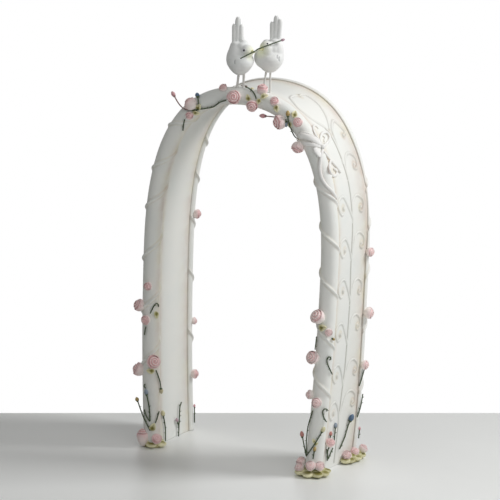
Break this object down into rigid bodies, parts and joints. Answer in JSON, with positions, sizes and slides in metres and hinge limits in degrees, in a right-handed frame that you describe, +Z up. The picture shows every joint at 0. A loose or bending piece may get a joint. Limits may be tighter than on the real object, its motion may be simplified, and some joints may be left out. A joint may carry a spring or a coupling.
{
  "type": "wedding cake topper",
  "caption": "Cast garden arch cake topper with a ribbon-wound front roll, moulded roses, wire bud stems and a pair of birds that share a flower on the crown.",
  "frame": {"origin": "midway between the two feet of the arch, on the surface that they stand on", "axes": "+Z up the arch to the birds, +X from the plain shoulder towards the shoulder with the bow, -Y towards the front roll with the roses"},
  "size_m": [0.1294, 0.065, 0.2578],
  "materials": {
    "cast_white": "matte bisque white with beige and pink antiquing in the grooves",
    "bird_white": "matte bisque white with painted eyes and beaks",
    "rose_pink": "matte hand-painted pale pink petals with cream backs",
    "leaf_green": "matte hand-painted yellow-green leaves",
    "stem_green": "dark green wrapped wire with matte painted buds",
    "leg_wire": "white painted wire"
  },
  "bodies": {
    "root": {"arch_frame": "cast_white", "ribbon_bow": "cast_white", "left_bird": "bird_white", "right_bird": "bird_white", "left_bird_left_leg": "leg_wire", "left_bird_right_leg": "leg_wire", "right_bird_left_leg": "leg_wire", "right_bird_right_leg": "leg_wire", "beak_flower_stem": "stem_green", "crown_rose_1": "rose_pink", "crown_rose_2": "rose_pink", "crown_rose_3": "rose_pink", "crown_rose_4": "rose_pink", "crown_rose_5": "rose_pink", "crown_rose_6": "rose_pink", "crown_rose_7": "rose_pink", "crown_rose_8": "rose_pink", "crown_rose_9": "rose_pink", "crown_rose_10": "rose_pink", "left_leg_rose_1": "rose_pink", "left_leg_rose_2": "rose_pink", "left_leg_rose_3": "rose_pink", "left_leg_rose_4": "rose_pink", "left_leg_rose_5": "rose_pink", "left_back_rose_1": "rose_pink", "left_back_rose_2": "rose_pink", "left_back_rose_3": "rose_pink", "right_leg_rose_1": "rose_pink", "right_leg_rose_2": "rose_pink", "right_leg_rose_3": "rose_pink", "right_leg_rose_4": "rose_pink", "right_leg_rose_5": "rose_pink", "right_back_rose_1": "rose_pink", "right_back_rose_2": "rose_pink", "right_back_rose_3": "rose_pink", "crown_left_vine": "stem_green", "crown_blue_bud": "stem_green", "crown_drop_vine": "stem_green", "crown_right_vine": "stem_green", "crown_pink_bud": "stem_green", "crown_lower_vine": "stem_green", "left_leg_tendril": "stem_green", "left_leg_bud_stem": "stem_green", "left_foot_blue_stem": "stem_green", "left_foot_mustard_stem": "stem_green", "left_foot_yellow_stem": "stem_green", "left_panel_stem": "stem_green", "left_back_bud_stem": "stem_green", "right_leg_tendril": "stem_green", "right_foot_spray": "stem_green", "right_foot_tendril": "stem_green", "right_panel_rose_stem": "stem_green", "right_panel_grey_bud": "stem_green", "right_panel_blue_stem": "stem_green", "right_back_stem": "stem_green", "left_front_rose_bed": "leaf_green", "right_front_rose_bed": "leaf_green", "left_back_rose_bed": "leaf_green", "right_back_rose_bed": "leaf_green"}
  },
  "joints": []
}
